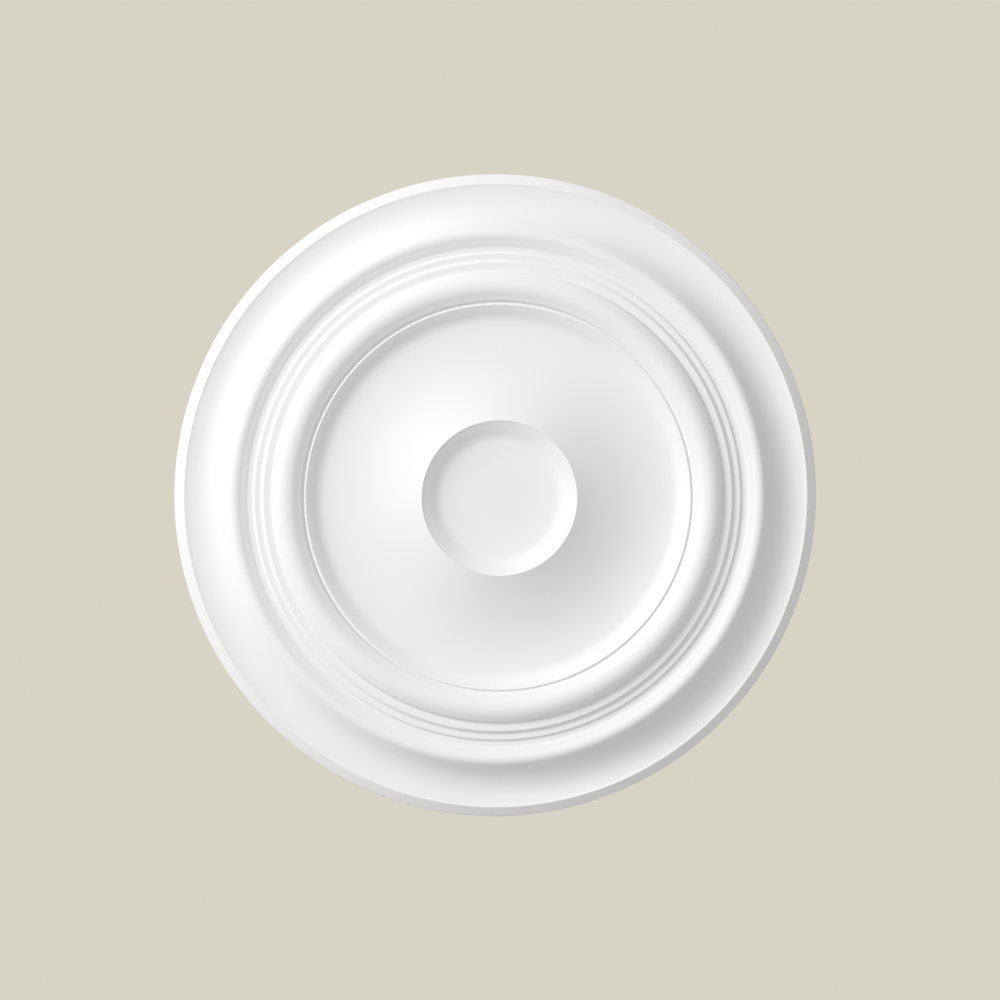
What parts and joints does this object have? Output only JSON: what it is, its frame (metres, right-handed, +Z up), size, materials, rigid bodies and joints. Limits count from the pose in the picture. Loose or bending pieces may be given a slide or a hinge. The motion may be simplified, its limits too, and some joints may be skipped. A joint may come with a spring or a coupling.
{
  "type": "ceiling rose",
  "caption": "Round moulded ceiling rose: flat back, hollow rim, two small steps, a roll and a dished field that sweeps up to a sunken flat centre for a pendant light.",
  "frame": {"origin": "centre of the flat back face, where the rose lies on the ceiling", "axes": "+Z up, out of the back face into the ceiling; the mouldings hang down towards -Z; the rose is the same all the way round Z"},
  "size_m": [0.4, 0.4, 0.0322],
  "materials": {
    "rose": "smooth white primer over a rigid foam moulding, eggshell sheen"
  },
  "bodies": {
    "root": {"rose": "rose"}
  },
  "joints": []
}
